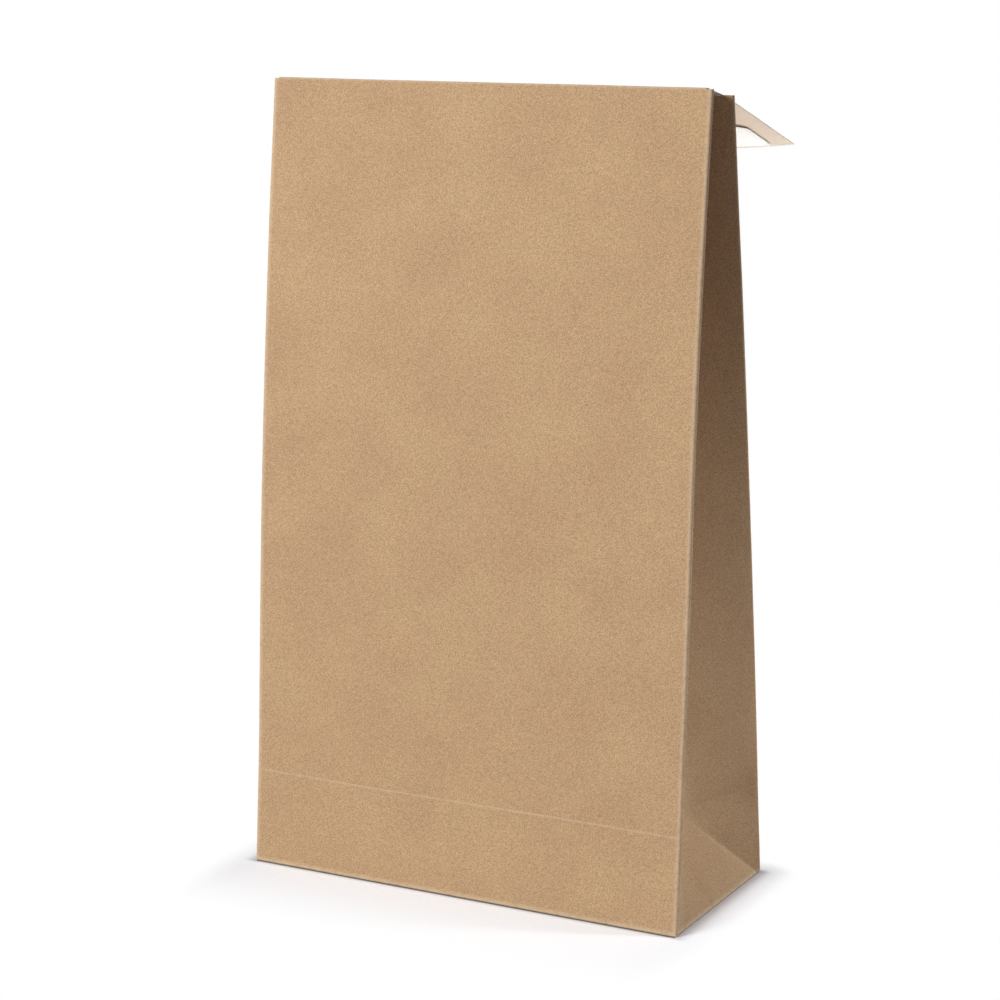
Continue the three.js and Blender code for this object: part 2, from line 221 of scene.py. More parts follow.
class PaperBagFinish(bpy.types.PropertyGroup):
    """Colours and wear of the papers"""

    kraft_yellow: StringProperty(
        name="Kraft, yellow",
        description="sRGB hex colour of the lighter, yellower clouds in the kraft paper",
        default="#c8a57b",
    )
    kraft_red: StringProperty(
        name="Kraft, red",
        description="sRGB hex colour of the darker, redder clouds in the kraft paper",
        default="#c19c75",
    )
    # Painted light: paler than the inner face of kraft is, to stand in for the bright light on the
    # flap's underside
    kraft_inside_with_painted_light: StringProperty(
        name="Kraft, inside",
        description="sRGB hex colour of the sheet's paler inner face",
        default="#f5e7d3",
    )
    # Also the colour of the painted highlight on the bottom rim, the crease and the corner and top
    # folds
    pale_fold_and_highlight_colour: StringProperty(
        name="Folds",
        description="sRGB hex colour of paper that is rubbed at a fold or cut at an edge",
        default="#e2c7a3",
    )
    dark_fibre: StringProperty(
        name="Dark fibres",
        description="sRGB hex colour of the bark specks and dark fibres",
        default="#7d5c3e",
    )
    light_fibre: StringProperty(
        name="Light fibres",
        description="sRGB hex colour of the pale fibres",
        default="#e0c8a6",
    )
    liner_colour: StringProperty(
        name="Liner",
        description="sRGB hex colour of the release liner",
        default="#f0efee",
    )
    adhesive_colour: StringProperty(
        name="Adhesive",
        description="sRGB hex colour of the adhesive strip",
        default="#cfc7b2",
    )
    # Also sets how strong the painted highlight on those folds is
    fold_wear_and_highlight: FloatProperty(
        name="Fold wear",
        description="How far folds and edges turn to the fold colour",
        default=0.8,
        min=0,
        max=1,
        subtype="FACTOR",
    )


class PaperBagStage(bpy.types.PropertyGroup):
    """Camera and light"""

    azimuth: FloatProperty(
        name="Azimuth",
        description="Camera's turn to the right of the front panel",
        default=math.radians(27.2208),
        subtype="ANGLE",
    )
    elevation: FloatProperty(
        name="Elevation",
        description="Camera's height angle",
        default=math.radians(10.9919),
        subtype="ANGLE",
    )
    roll: FloatProperty(
        name="Roll",
        description="Camera's turn about its own axis",
        default=math.radians(0.4565),
        subtype="ANGLE",
    )
    distance: FloatProperty(
        name="Distance",
        description="Camera to the point it looks at",
        default=977.1 * MM,
        unit="LENGTH",
    )
    focal_length: FloatProperty(
        name="Focal length",
        description="Camera lens, in millimetres, on a sensor 36 mm wide",
        default=92.472,
    )
    key_power: FloatProperty(
        name="Key light",
        description="Large soft lamp in front, to the left and above",
        default=74.0,
        unit="POWER",
    )
    side_power: FloatProperty(
        name="Side light",
        description="Narrow lamp to the right, on the foot of the gusset",
        default=0.145,
        unit="POWER",
    )
    bounce_power: FloatProperty(
        name="Bounce light",
        description="Soft lamp low behind the bag, on the flap's underside",
        default=4.4,
        unit="POWER",
    )
    ambient: FloatProperty(
        name="Ambient light",
        description="Strength of the light that the surroundings give the object",
        default=0.16,
    )


def spread(start, stop, spacing):
    """Even stops from start to stop, no further apart than the spacing."""
    count = max(1, math.ceil(abs(stop - start) / spacing - 1e-6))
    return np.linspace(start, stop, count + 1)


def leg_of(long, across):
    return math.sqrt(long**2 - across**2)


class BagForm:
    """Fold lines of the standing bag, worked out from its sizes."""

    crease_dent = 0.5 * MM  # the crease line's depth in the front and back panels
    triangle_foot = 2.4 * MM  # from a bottom corner to where the triangle's side fold starts
    triangle_dish = 0.3 * MM  # the triangle's foot stands this far inside the side edge
    seam_overlap = 12 * MM  # long seam up the middle of the back panel
    seam_ease = 14 * MM  # width over which the under layer comes back level
    bottom_overlap = 20 * MM  # front bottom flap over back bottom flap
    bottom_rim = 1.2 * MM  # width of the folded rim round the base
    flap_fold_radius = 0.35 * MM
    flap_root_inset = 2.2 * MM  # flap's side edge inside the panel's edge, at the fold
    flap_side_inset = 4.8 * MM  # the same, beyond the back panel
    flap_bend_length = 1.5 * MM  # curved stretch where the flap tips over the back edge
    flap_edge_slope = math.radians(16)
    flap_middle_sag = math.radians(3.6)
    flap_clearance = 0.15 * MM  # between the flap and the cut edge that it lies on
    ear_width = 4.3 * MM  # corner ears of the back panel, beside the flap
    ear_rise = 0.35 * MM  # the ears above the cut edge that the flap lies on
    ear_step = 0.1 * MM  # width over which the cut edge drops from an ear
    ear_share = 0.08  # the most of a short row that an ear takes, near the bottom
    step_share = 0.01  # the same, for its step
    back_margin = 1.2 * MM  # from a corner fold to the back panel's first column
    crease_pinch = 3.0 * MM  # how far the gusset is pinched in along its crease
    pinch_above = 9 * MM  # height over which the pinch fades above the crease
    pinch_below = 14 * MM  # the same, below it
    pinch_fullness = 0.6  # below 1, the pinch stays deep close to the gusset's folds
    front_belly = 3.0 * MM  # how far the front panel stands out at most
    back_belly = 2.2 * MM  # the same, for the back panel
    belly_rise = 1.45  # above 1, the front panel's belly is highest above half height
    bottom_flare = 0.8 * MM  # how far each side edge spreads from the mouth to the bottom

    def __init__(self, sizes):
        self.sizes = sizes
        self.half_width = sizes.bag_width / 2
        self.half_depth = sizes.base_depth / 2
        self.half_paper = sizes.paper / 2
        self.floor_thickness = 3 * sizes.paper
        self.corner_x = self.half_width - self.half_paper - sizes.corner_fold_radius
        self.ear_x = self.half_width - self.ear_width
        self.seat_x = self.ear_x - self.ear_step
        self.set_levels()
        self.set_flap()

    def set_levels(self):
        """The four folds of the right side at the bottom edge, the crease and the mouth."""
        sizes, half_depth = self.sizes, self.half_depth
        length, crease = sizes.panel_length, sizes.crease_height
        self.mouth_front = Vector((self.corner_x, sizes.mouth_setback - half_depth, 0))
        self.mouth_front.z = leg_of(length, sizes.mouth_setback)
        self.mouth_back = Vector((self.corner_x, self.mouth_front.y + sizes.mouth_gap, 0))
        self.mouth_back.z = leg_of(length, half_depth - self.mouth_back.y)
        self.front_lean = math.asin(sizes.mouth_setback / length)
        back_lean = math.asin((half_depth - self.mouth_back.y) / length)
        crease_front = Vector((
            self.corner_x,
            -half_depth + crease * math.sin(self.front_lean) + self.crease_dent,
            crease * math.cos(self.front_lean),
        ))
        crease_back = Vector((
            self.corner_x,
            half_depth - crease * math.sin(back_lean) - self.crease_dent,
            crease * math.cos(back_lean),
        ))
        tip = Vector((
            self.half_width - sizes.gusset_tuck,
            (crease_front.y + crease_back.y) / 2,
            leg_of(crease, sizes.gusset_tuck),
        ))
        mouth_centre = (self.mouth_front + self.mouth_back) / 2
        mouth_centre.x = self.half_width - leg_of(half_depth, sizes.mouth_gap / 2)
        foot_x = self.half_width - self.triangle_dish
        foot_y = half_depth - self.triangle_foot
        self.levels = [
            [Vector((self.corner_x, -half_depth, 0)), Vector((foot_x, -foot_y, 0)),
             Vector((foot_x, foot_y, 0)), Vector((self.corner_x, half_depth, 0))],
            [crease_front, tip, tip, crease_back],
            [self.mouth_front, mouth_centre, mouth_centre, self.mouth_back],
        ]

    def folds_at(self, height):
        """The folds at a height: 0 the bottom edge, 1 the crease, 2 the mouth. The panels belly
        out between bottom and mouth, and above the crease the gussets give the paper for it."""
        below = min(int(height), len(self.levels) - 2)
        pairs = zip(self.levels[below], self.levels[below + 1])
        folds = [low.lerp(high, height - below) for low, high in pairs]
        front, fold_front, fold_back, back = folds
        half_gusset = math.hypot(self.half_width - fold_front.x, (back.y - front.y) / 2)
        share = min(1, front.z / self.mouth_front.z)
        front.y -= self.front_belly * math.sin(math.pi * share**self.belly_rise)
        back.y += self.back_belly * math.sin(math.pi * share)
        if height >= 1:
            tuck = leg_of(half_gusset, (back.y - front.y) / 2)
            for fold in (fold_front, fold_back):
                fold.x = self.half_width - tuck
                fold.y = (front.y + back.y) / 2
        return folds

    def pinch_at(self, height):
        """How far the gusset is pinched in at a height, most at the crease."""
        crease = self.sizes.crease_height
        if height < 1:
            return self.crease_pinch * max(0, 1 - (1 - height) * crease / self.pinch_below)
        rise = (height - 1) * (self.sizes.panel_length - crease)
        return self.crease_pinch * math.exp(-rise / self.pinch_above)

    def set_flap(self):
        """The flap's path at the middle of the paper, in y and z. It goes round its fold, straight
        to the hinge over the back panel's edge, and down."""
        front, back = self.mouth_front, self.mouth_back
        radius = self.half_paper + self.flap_fold_radius
        self.fold_centre = (
            front.y + radius * math.cos(self.front_lean),
            front.z - radius * math.sin(self.front_lean),
        )
        self.hinge = (back.y, back.z - self.ear_rise + self.flap_clearance + self.half_paper)
        run = self.hinge[0] - self.fold_centre[0]
        drop = self.fold_centre[1] - self.hinge[1]
        self.bridge_slope = math.atan2(drop, run)
        self.bridge_slope += math.asin(self.flap_fold_radius / math.hypot(run, drop))
        self.flap_root_half = self.half_width - self.flap_root_inset
        self.flap_free_half = self.half_width - self.flap_side_inset

    def flap_point(self, x, along, offset):
        """A point of the flap beyond the back edge, offset outward from the middle of the paper."""
        middle = 1 - min(1, abs(x) / self.flap_free_half) ** 2
        slope = self.flap_edge_slope + self.flap_middle_sag * middle
        curved = min(along, self.flap_bend_length)
        radius = self.flap_bend_length / (slope - self.bridge_slope)
        turned = self.bridge_slope + (slope - self.bridge_slope) * curved / self.flap_bend_length
        straight = along - curved
        y = self.hinge[0] + radius * (math.sin(turned) - math.sin(self.bridge_slope))
        z = self.hinge[1] - radius * (math.cos(self.bridge_slope) - math.cos(turned))
        return Vector((
            x,
            y + straight * math.cos(turned) + offset * math.sin(turned),
            z - straight * math.sin(turned) + offset * math.cos(turned),
        ))


def normal_between(start, end):
    """Angle of the outward normal on the straight run of paper between two fold rollers."""
    (start_x, start_y), start_reach = start
    (end_x, end_y), end_reach = end
    span = math.hypot(end_x - start_x, end_y - start_y)
    run = math.atan2(end_y - start_y, end_x - start_x)
    return run - math.pi / 2 + math.asin((start_reach - end_reach) / span)


def side_profile(form, folds, offset, pinch):
    """Right side of a section, front panel to back panel, as rows of x, y, z and wear, which on the
    corner folds is partly a painted highlight.
    """
    sizes = form.sizes
    corner = sizes.corner_fold_radius + offset
    tuck = offset - sizes.gusset_fold_radius
    corner_inset = form.half_paper + sizes.corner_fold_radius
    tuck_x = sizes.gusset_fold_radius - form.half_paper
    front, fold_front, fold_back, back = folds
    rollers = [
        ((form.corner_x, front.y + corner_inset), corner),
        ((fold_front.x + tuck_x, fold_front.y), tuck),
        ((fold_back.x + tuck_x, fold_back.y), tuck),
        ((form.corner_x, back.y - corner_inset), corner),
    ]
    heights = [front.z, fold_front.z, fold_back.z, back.z]
    normals = [
        -math.pi / 2,
        normal_between(rollers[0], rollers[1]),
        0,
        normal_between(rollers[2], rollers[3]),
        math.pi / 2,
    ]
    steps = [CORNER_STEPS, TUCK_STEPS, TUCK_STEPS, CORNER_STEPS]
    runs = [GUSSET_RUNS, TRIANGLE_RUNS, GUSSET_RUNS]
    wear = [CORNER_WEAR_AND_HIGHLIGHT, TUCK_WEAR, TUCK_WEAR, CORNER_WEAR_AND_HIGHLIGHT[::-1]]
    points = []
    for i, ((x, y), reach) in enumerate(rollers):
        angles = np.linspace(normals[i], normals[i + 1], steps[i] + 1)
        rubbed_and_highlit = np.interp(np.linspace(0, 2, steps[i] + 1), [0, 1, 2], wear[i])
        arc = [
            (x + reach * math.cos(a), y + reach * math.sin(a), heights[i], w)
            for a, w in zip(angles, rubbed_and_highlit)
        ]
        if points:
            points.extend(straight_run(form, points[-1], arc[0], runs[i - 1], i, pinch))
        points.extend(arc)
    return np.array(points)


def straight_run(form, start, end, count, roller, pinch):
    """Points between two folds. The gusset's halves are pinched in along the crease, and the back
    half has two columns close together where the mouth's ear begins."""
    way = np.subtract(end, start)
    length = math.hypot(way[0], way[1])
    shares = np.arange(1, count) / count
    if roller == 3:
        ear_run = form.ear_width - form.half_paper - form.sizes.corner_fold_radius
        ear = min(ear_run / length, form.ear_share)
        step = min(form.ear_step / length, form.step_share)
        shares = np.append(shares, [1 - ear - step, 1 - ear])
    between = start + way * shares[:, None]
    between[:, 3] = 0
    if roller != 2:
        inward = np.array([-way[1], way[0], 0, 0]) / length
        between += inward * (pinch * np.sin(math.pi * shares) ** form.pinch_fullness)[:, None]
    return between.tolist()


def back_columns(form):
    """Back panel columns, right to left: x, and how many layers the outer face sinks and the
    inner face stands proud beside the long seam."""
    edge, step = form.seam_overlap / 2, form.half_paper
    keys = [
        (form.corner_x - form.back_margin, 0, 0),
        (form.ear_x, 0, 0),
        (form.seat_x, 0, 0),
        (edge + step, 0, 0),
        (edge, 0, 1),
        (-edge, 0, 1),
        (-edge - step, 1, 1),
        (-edge - form.seam_ease, 0, 0),
        (-form.seat_x, 0, 0),
        (-form.ear_x, 0, 0),
        (-form.corner_x + form.back_margin, 0, 0),
    ]
    columns = [keys[0]]
    for start, stop in zip(keys, keys[1:]):
        xs = spread(start[0], stop[0], COLUMN_SPACING)[1:]
        for x in xs:
            share = (x - start[0]) / (stop[0] - start[0])
            columns.append((x, *(a + (b - a) * share for a, b in zip(start[1:], stop[1:]))))
    return np.array(columns)


def section_loop(form, height, offset, wear=0.0):
    """One closed section of the body, anticlockwise from the front panel's left end."""
    folds = form.folds_at(height)
    right = side_profile(form, folds, offset, form.pinch_at(height))
    left = (right * [-1, 1, 1, 1])[::-1]
    front_x = spread(-form.flap_root_half, form.flap_root_half, COLUMN_SPACING)
    front = np.zeros((len(front_x), 4))
    front[:, 0] = front_x
    front[:, 1] = folds[0].y + form.half_paper - offset
    front[:, 2] = folds[0].z
    columns = back_columns(form)
    layers = columns[:, 1 if offset > -form.half_paper else 2]
    back = np.zeros((len(columns), 4))
    back[:, 0] = columns[:, 0]
    back[:, 1] = folds[3].y - form.half_paper + offset - layers * form.sizes.paper
    back[:, 2] = folds[3].z
    if height == 2:
        for part in (right, back, left):
            covered = np.abs(part[:, 0]) < form.ear_x - form.ear_step / 4
            share = (part[:, 1] - form.mouth_front.y) / form.sizes.mouth_gap
            part[:, 2] -= covered * share * form.ear_rise
    loop = np.concatenate([front, right, back, left])
    loop[:, 0] *= 1 + form.bottom_flare / form.half_width * (1 - folds[0].z / form.mouth_front.z)
    loop[:, 3] = 1 - (1 - loop[:, 3]) * (1 - wear)
    return loop


class Surface:
    """Gathers the faces and the vertices of one closed surface. Each vertex has its wear and
    painted highlight, and 1 where it lies on the paper's inner face."""

    def __init__(self):
        self.points = []
        self.wear = []
        self.inside = []
        self.faces = []

    def row(self, points, inside=0.0):
        start = len(self.points)
        self.points.extend(tuple(p[:3]) for p in points)
        self.wear.extend(p[3] for p in points)
        self.inside.extend([inside] * len(points))
        return list(range(start, len(self.points)))

    def band(self, lower, upper, outward, closed):
        """Faces between two rows, seen from the right of the direction in which they run."""
        for i in range(len(lower) - (0 if closed else 1)):
            j = (i + 1) % len(lower)
            face = (lower[i], lower[j], upper[j], upper[i])
            self.faces.append(face if outward else face[::-1])

    def mesh(self, name):
        mesh = bpy.data.meshes.new(name)
        mesh.from_pydata(self.points, [], self.faces)
        for key, values in (("fold_wear_and_highlight", self.wear), ("inside_face", self.inside)):
            mesh.attributes.new(key, "FLOAT", "POINT").data.foreach_set("value", values)
        shape = bmesh.new()
        shape.from_mesh(mesh)
        bmesh.ops.remove_doubles(shape, verts=shape.verts, dist=MERGE_DISTANCE)
        shape.to_mesh(mesh)
        shape.free()
        return mesh


def wall_rows(form):
    """Heights of the wall's rows above the bottom fold, with the wear and painted highlight of each
    row.
    """
    crease = form.sizes.crease_height
    upper = form.sizes.panel_length - crease
    rim = [(rise / crease, wear) for rise, wear in RIM_ROWS]
    skirt = spread(SKIRT_START / crease, 1 - RIDGE_MARGIN / crease, ROW_SPACING / crease)
    ridge = [(1 + rise / crease, wear) for rise, wear in RIDGE_ROWS_BELOW]
    ridge += [(1 + rise / upper, wear) for rise, wear in RIDGE_ROWS_ABOVE]
    wall = spread(1 + RIDGE_MARGIN / upper, 2 - EDGE_MARGIN / upper, ROW_SPACING / upper)
    return [*rim, *((height, 0) for height in skirt), *ridge,
            *((height, 0) for height in wall), (2, MOUTH_WEAR_AND_HIGHLIGHT)]


def inset_loop(loop, distance, wear):
    """The bottom loop drawn in from all four sides, for the flat of the base."""
    limit = np.abs(loop[:, :2]).max(axis=0) - distance
    drawn_in = loop.copy()
    drawn_in[:, :2] = np.clip(loop[:, :2], -limit, limit)
    drawn_in[:, 3] = wear
    return drawn_in


def flap_rows(form, offset):
    """Rows of the flap from its fold to its free edge, on one face of the paper."""
    root_x = spread(-form.flap_root_half, form.flap_root_half, COLUMN_SPACING)
    start = form.front_lean - math.pi / 2
    reach = form.flap_fold_radius + offset
    rows = []
    for angle in np.linspace(start, form.bridge_slope, FLAP_FOLD_STEPS + 1)[1:]:
        y = form.fold_centre[0] + reach * math.sin(angle)
        z = form.fold_centre[1] + reach * math.cos(angle)
        rows.append([(x, y, z, FLAP_FOLD_WEAR_AND_HIGHLIGHT) for x in root_x])
    narrowing = form.flap_free_half / form.flap_root_half
    bend = np.linspace(0, form.flap_bend_length, FLAP_BEND_STEPS + 1)
    end = form.sizes.flap_length
    rest = spread(form.flap_bend_length, end - EDGE_MARGIN, ROW_SPACING)[1:]
    for along in [*bend, *rest, end]:
        wear = FLAP_EDGE_WEAR if along == end else 0
        rows.append([(*form.flap_point(x * narrowing, along, offset), wear) for x in root_x])
    return rows


def sheet_surface(form):
    """The whole folded sheet: walls, gussets, base and flap as one closed surface."""
    crease = form.sizes.crease_height
    surface = Surface()
    radius = form.sizes.bottom_fold_radius
    first = section_loop(form, 0, form.half_paper - radius)
    outer = [surface.row(inset_loop(first, inset, wear)) for inset, wear in BASE_ROWS]
    for angle in np.linspace(0, math.pi / 2, ROUNDING_STEPS + 1):
        rise = radius * (1 - math.cos(angle))
        inset = radius * (1 - math.sin(angle))
        offset = form.half_paper - inset
        outer.append(surface.row(section_loop(form, rise / crease, offset, BOTTOM_WEAR_AND_HIGHLIGHT)))
    floor = section_loop(form, form.floor_thickness / crease, -form.half_paper)
    floor[:, 2] = form.floor_thickness
    inner = [surface.row(floor, 1)]
    for height, wear in wall_rows(form):
        outer.append(surface.row(section_loop(form, height, form.half_paper, wear)))
        inner.append(surface.row(section_loop(form, height, -form.half_paper, wear), 1))
    surface.faces.append(outer[0][::-1])
    surface.faces.append(inner[0])
    for lower, upper in zip(outer, outer[1:]):
        surface.band(lower, upper, True, True)
    for lower, upper in zip(inner, inner[1:]):
        surface.band(lower, upper, False, True)

    # The cut edge at the mouth, open where the front panel goes on into the flap
    root = len(spread(-form.flap_root_half, form.flap_root_half, COLUMN_SPACING))
    cut = [*outer[-1][root - 1:], outer[-1][0]]
    cut_inner = [*inner[-1][root - 1:], inner[-1][0]]
    surface.band(cut, cut_inner, True, False)

    over = [outer[-1][:root]] + [surface.row(r) for r in flap_rows(form, form.half_paper)]
    under = [inner[-1][:root]] + [surface.row(r, 1) for r in flap_rows(form, -form.half_paper)]
    close_sheet(surface, over, under, True)
    return surface


def close_sheet(surface, over, under, open_start):
    """Faces of a sheet given by the rows of its two faces, with its cut edges."""
    for j in range(1, len(over)):
        surface.band(over[j - 1], over[j], True, False)
        surface.band(under[j - 1], under[j], False, False)
    if not open_start:
        surface.band(over[0], under[0], False, False)
    surface.band(over[-1], under[-1], True, False)
    surface.band([r[0] for r in over], [r[0] for r in under], True, False)
    surface.band([r[-1] for r in over], [r[-1] for r in under], False, False)


def corner_trim(radius, inset):
    """How far a rounded corner cuts into a strip's side, at an inset from the strip's end."""
    return radius - leg_of(radius, radius - inset) if inset < radius else 0.0


def strip_surface(form, half_length, start, end, radii, depth, thickness, edge_lift):
    """A thin strip on the flap's underside with rounded corners, its top face the given depth
    below the middle of the flap's paper. Its inner edge and its ends curl off the flap, and its
    corners do so by about the edge lift."""
    rounded = max(radii)
    straight_half = half_length - rounded
    columns = [(x, rounded) for x in spread(-straight_half, straight_half, STRIP_SPACING)]
    for angle in np.linspace(0, math.pi / 2, STRIP_CORNER_STEPS + 1)[1:]:
        inset = rounded * (1 - math.sin(angle))
        columns.append((half_length - inset, inset))
        columns.insert(0, (inset - half_length, inset))
    width = end - start
    inner_shares = spread(STRIP_MARGIN / width, 1, STRIP_ROW_SPACING / width)
    shares = [0, STRIP_EDGE / width, *inner_shares]
    surface = Surface()

    def rows(below):
        made = []
        for share in shares:
            row = []
            for x, inset in columns:
                first = start + corner_trim(radii[0], inset)
                last = end - corner_trim(radii[1], inset)
                along = first + (last - first) * share
                into = (max(0, CURL_WIDTH - (along - start)), max(0, CURL_WIDTH - inset))
                curl = edge_lift * max(0, math.hypot(*into) / CURL_WIDTH - CURL_START) ** 2
                row.append((*form.flap_point(x, along, -below - curl), 0.0))
            made.append(surface.row(row))
        return made

    close_sheet(surface, rows(depth), rows(depth + thickness), False)
    return surface


def wander(point):
    """A smooth aimless offset, from -1 to 1 on each axis, for paper that is never quite flat."""
    broad = noise.noise_vector(point / BROAD_WANDER)
    local = noise.noise_vector(point / LOCAL_WANDER)
    return broad + LOCAL_SHARE * local


def slacken(mesh, form):
    """Lets the walls wander from flat, and leaves the base and its edges where they stand. The
    noise starts from a seed, because it would otherwise be another one in each session."""
    slack = form.sizes.slackness
    noise.seed_set(SLACK_SEED)
    for vertex in mesh.vertices:
        rise = min(1, max(0, (vertex.co.z - STILL_HEIGHT) / SLACK_EASE))
        ease = rise * rise * (3 - 2 * rise)
        vertex.co += wander(vertex.co) * slack * ease


def base_recess(name, corners, depth):
    """A prism that sinks part of the base's underside, as deep as the layers that stop short."""
    below = -1 * MM
    count = len(corners)
    points = [(x, y, z) for z in (below, depth) for x, y in corners]
    faces = [tuple(range(count))[::-1], tuple(range(count, 2 * count))]
    faces += [(i, (i + 1) % count, (i + 1) % count + count, i + count) for i in range(count)]
    mesh = bpy.data.meshes.new(name)
    mesh.from_pydata(points, [], faces)
    cutter = bpy.data.objects.new(name, mesh)
    bpy.context.scene.collection.objects.link(cutter)
    return cutter


def sink_bottom_flaps(bag, form):
    """The front bottom flap covers the back one, and both cover the side triangles."""
    rim_x, rim_y = form.half_width - form.bottom_rim, form.half_depth - form.bottom_rim
    point_x = form.half_width - form.half_depth
    lap = form.bottom_overlap / 2
    back_flap = [(point_x, 0), (rim_x, rim_y), (-rim_x, rim_y), (-point_x, 0),
                 (-point_x, lap), (point_x, lap)]
    right = [(rim_x, -rim_y), (rim_x, rim_y), (point_x, 0)]
    left = [(-x, y) for x, y in right][::-1]
    paper = form.sizes.paper
    for name, corners, layers in (("back", back_flap, 1), ("right", right, 2), ("left", left, 2)):
        cutter = base_recess(f"{name}_recess", corners, layers * paper)
        cut = bag.modifiers.new(name, "BOOLEAN")
        cut.operation = "DIFFERENCE"
        cut.solver = "EXACT"
        cut.object = cutter
        apply_modifiers(bag)
        bpy.data.objects.remove(cutter)


def apply_modifiers(piece):
    """Keeps the result of a piece's modifiers as its mesh, with no modifier left on it."""
    graph = bpy.context.evaluated_depsgraph_get()
    made = bpy.data.meshes.new_from_object(piece.evaluated_get(graph))
    piece.modifiers.clear()
    piece.data = made


def add_piece(name, mesh, material):
    piece = bpy.data.objects.new(name, mesh)
    bpy.context.scene.collection.objects.link(piece)
    mesh.materials.append(material)
    return piece


def smooth(piece):
    """Smooth shading, apart from edges that turn by more than the sharp angle."""
    mesh = piece.data
    mesh.shade_smooth()
    mesh.set_sharp_from_angle(angle=SHARP_ANGLE)


def linear(hex_colour):
    """An sRGB hex colour as linear red, green, blue and an alpha of 1."""
    parts = [int(hex_colour[i:i + 2], 16) / 255 for i in (1, 3, 5)]
    return (*(p / 12.92 if p <= 0.04045 else ((p + 0.055) / 1.055) ** 2.4 for p in parts), 1)


def add_node(tree, kind, settings=None, **links):
    """Adds a node: its settings by name, then its inputs by name, or by number after an n."""
    node = tree.nodes.new(kind)
    for name, value in (settings or {}).items():
        setattr(node, name, value)
    for name, value in links.items():
        numbered = name[0] == "n" and name[1:].isdigit()
        socket = node.inputs[int(name[1:]) if numbered else name.replace("_", " ")]
        if isinstance(value, bpy.types.NodeSocket):
            tree.links.new(value, socket)
        else:
            socket.default_value = value
    return node


def new_material(name):
    """An empty node material with its output and the object's own coordinates."""
    material = bpy.data.materials.new(name)
    material.use_nodes = True
    tree = material.node_tree
    tree.nodes.clear()
    output = add_node(tree, "ShaderNodeOutputMaterial")
    place = add_node(tree, "ShaderNodeTexCoord").outputs["Object"]
    return material, tree, output, place


SMOOTH_RANGE = {"interpolation_type": "SMOOTHSTEP"}
COLOUR_MIX = {"data_type": "RGBA"}
COLOUR_PRODUCT = {"data_type": "RGBA", "blend_type": "MULTIPLY"}


